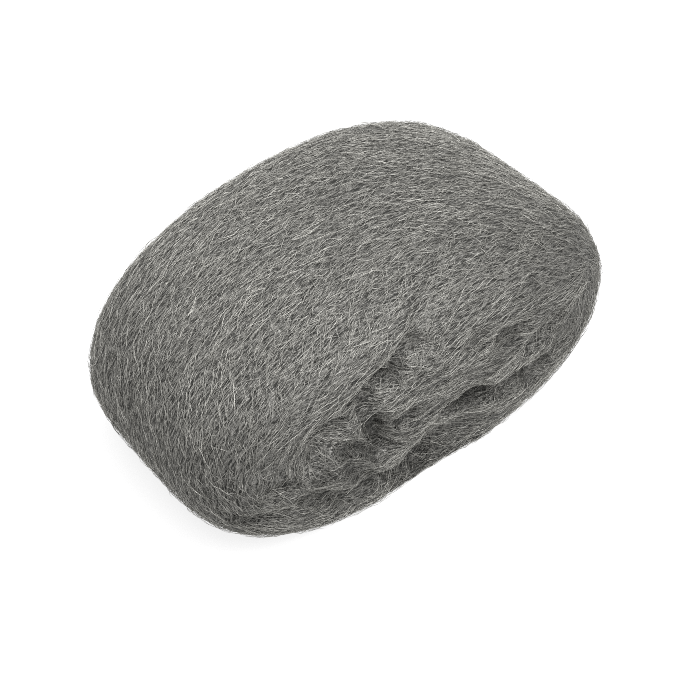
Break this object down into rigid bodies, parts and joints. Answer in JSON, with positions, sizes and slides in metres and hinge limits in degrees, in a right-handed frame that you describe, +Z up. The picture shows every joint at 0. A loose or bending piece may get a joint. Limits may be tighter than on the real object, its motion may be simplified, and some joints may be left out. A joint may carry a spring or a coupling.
{
  "type": "steel wool bundle",
  "caption": "Oval hand pad of fine steel wool: one band of shaved steel fibres rolled up and pressed flat, its turns showing at the open end; for scouring and polishing.",
  "frame": {"origin": "middle of the pad's overall box, on the flat that the pad rests on", "axes": "+X along the pad's length, the way the band is wound over its top; +Y along the axis of the roll, away from the open end that shows the turns; +Z up"},
  "size_m": [0.1, 0.0594, 0.0486],
  "materials": {
    "steel_wool": "fine wool of kinky shaved steel fibres, mid grey with small bright glints"
  },
  "bodies": {
    "root": {"wool_pad": "steel_wool"}
  },
  "joints": []
}
